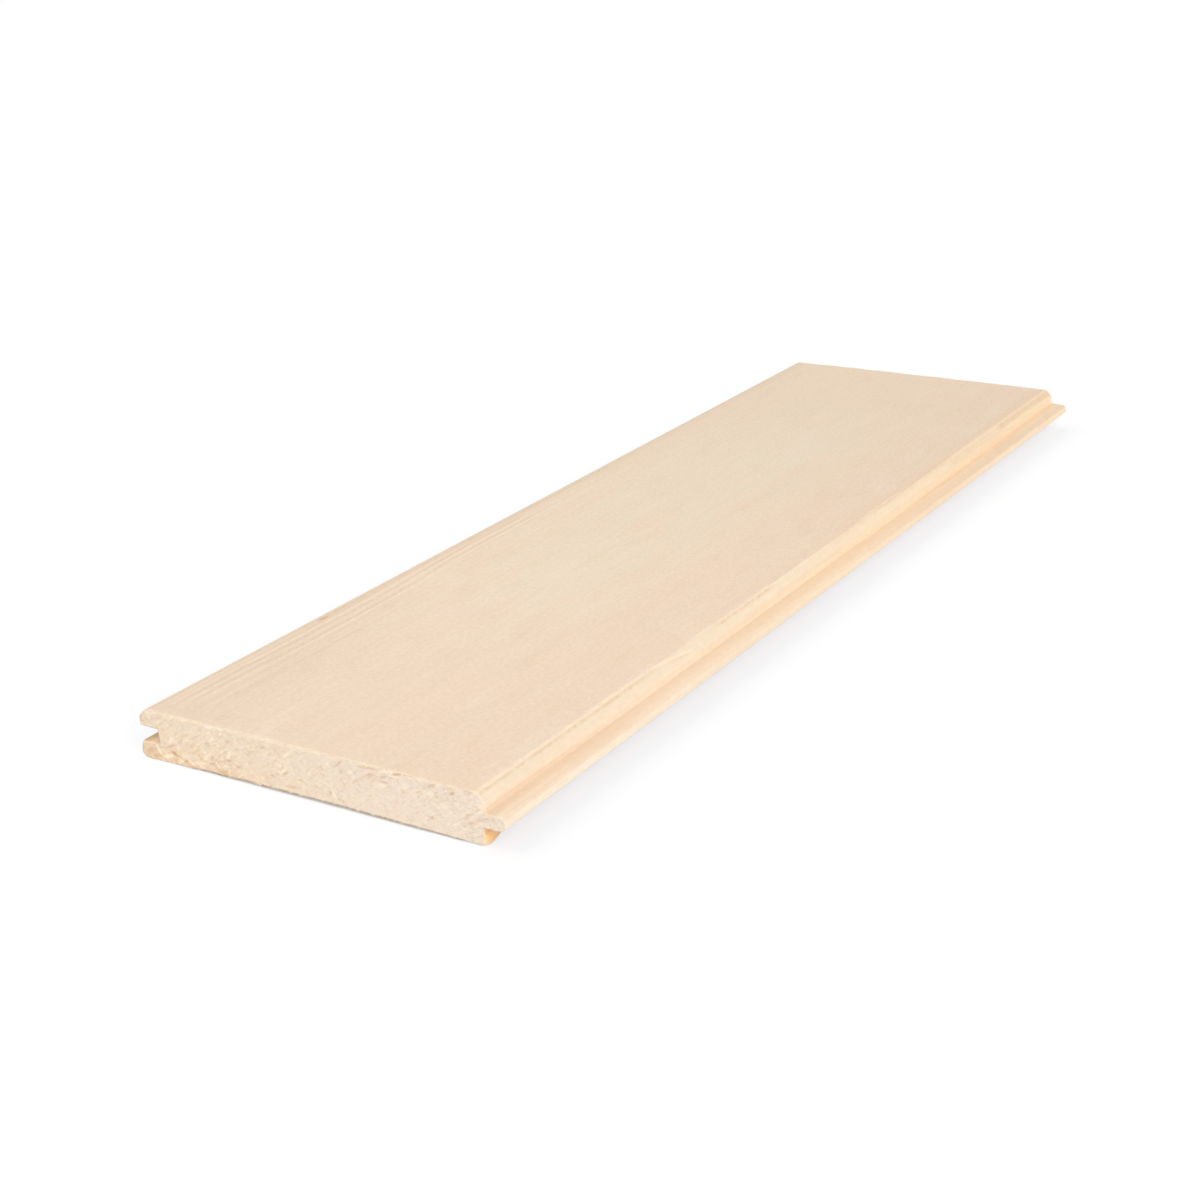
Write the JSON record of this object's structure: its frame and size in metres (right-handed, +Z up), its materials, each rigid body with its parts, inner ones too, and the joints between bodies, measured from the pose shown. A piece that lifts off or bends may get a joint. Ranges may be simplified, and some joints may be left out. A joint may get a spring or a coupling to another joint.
{
  "type": "tongue and groove board",
  "caption": "Flat softwood board with a tongue along one long edge, a matching groove along the other, bevelled face edges and square sawn ends.",
  "frame": {"origin": "middle of the board's bounding box in plan, on the plane of its back", "axes": "+X across the board from the groove to the tongue, +Y along the grain, +Z up out of the face"},
  "size_m": [0.1214, 0.4, 0.015],
  "materials": {
    "wood": "planed, unfinished"
  },
  "bodies": {
    "root": {"tongue_groove_board": "wood"}
  },
  "joints": []
}
